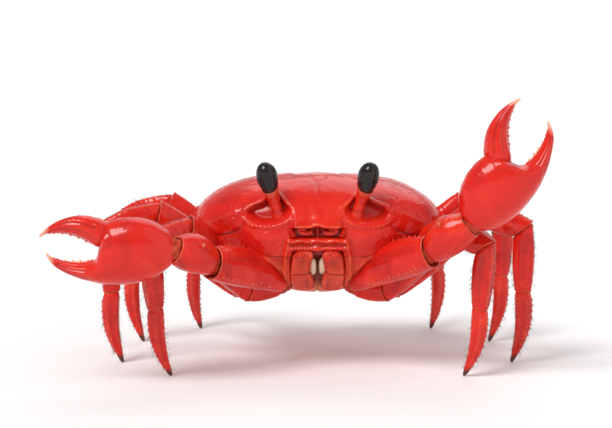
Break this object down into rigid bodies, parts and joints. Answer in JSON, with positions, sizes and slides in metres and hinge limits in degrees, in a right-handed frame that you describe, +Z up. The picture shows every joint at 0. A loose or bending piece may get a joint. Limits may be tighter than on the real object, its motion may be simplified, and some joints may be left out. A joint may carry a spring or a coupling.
{
  "type": "land crab",
  "caption": "Red land crab standing on its walking legs, one claw held out level and the other raised, both open.",
  "frame": {"origin": "on the floor, under the middle of the model's bounding box", "axes": "+X towards the animal's left side, -Y the way it faces, +Z up"},
  "size_m": [0.201, 0.1382, 0.1136],
  "materials": {
    "shell": "glossy red shell of the carapace and eyestalks, finely grained",
    "limb": "glossy red shell of the legs and arms, paler at the joints",
    "claw": "smooth glossy red shell, paler at the fingertips",
    "underside": "satin orange-red plates",
    "cornea": "polished near-black eye surface"
  },
  "bodies": {
    "root": {"carapace": "shell", "thorax": "underside", "abdomen": "underside", "eyestalk_right": "shell", "eye_right": "cornea", "antenna_right": "limb", "maxilliped_right": "underside", "claw_right_finger": "claw", "claw_right_palm": "claw", "claw_right_wrist": "limb", "claw_right_arm": "limb", "leg_right_1_coxa": "limb", "leg_right_1_merus": "limb", "leg_right_1_carpus": "limb", "leg_right_1_propodus": "limb", "leg_right_1_dactylus": "limb", "leg_right_2_coxa": "limb", "leg_right_2_merus": "limb", "leg_right_2_carpus": "limb", "leg_right_2_propodus": "limb", "leg_right_2_dactylus": "limb", "leg_right_3_coxa": "limb", "leg_right_3_merus": "limb", "leg_right_3_carpus": "limb", "leg_right_3_propodus": "limb", "leg_right_3_dactylus": "limb", "leg_right_4_coxa": "limb", "leg_right_4_merus": "limb", "leg_right_4_carpus": "limb", "leg_right_4_propodus": "limb", "leg_right_4_dactylus": "limb", "eyestalk_left": "shell", "eye_left": "cornea", "antenna_left": "limb", "maxilliped_left": "underside", "claw_left_finger": "claw", "claw_left_palm": "claw", "claw_left_wrist": "limb", "claw_left_arm": "limb", "leg_left_1_coxa": "limb", "leg_left_1_merus": "limb", "leg_left_1_carpus": "limb", "leg_left_1_propodus": "limb", "leg_left_1_dactylus": "limb", "leg_left_2_coxa": "limb", "leg_left_2_merus": "limb", "leg_left_2_carpus": "limb", "leg_left_2_propodus": "limb", "leg_left_2_dactylus": "limb", "leg_left_3_coxa": "limb", "leg_left_3_merus": "limb", "leg_left_3_carpus": "limb", "leg_left_3_propodus": "limb", "leg_left_3_dactylus": "limb", "leg_left_4_coxa": "limb", "leg_left_4_merus": "limb", "leg_left_4_carpus": "limb", "leg_left_4_propodus": "limb", "leg_left_4_dactylus": "limb"}
  },
  "joints": []
}
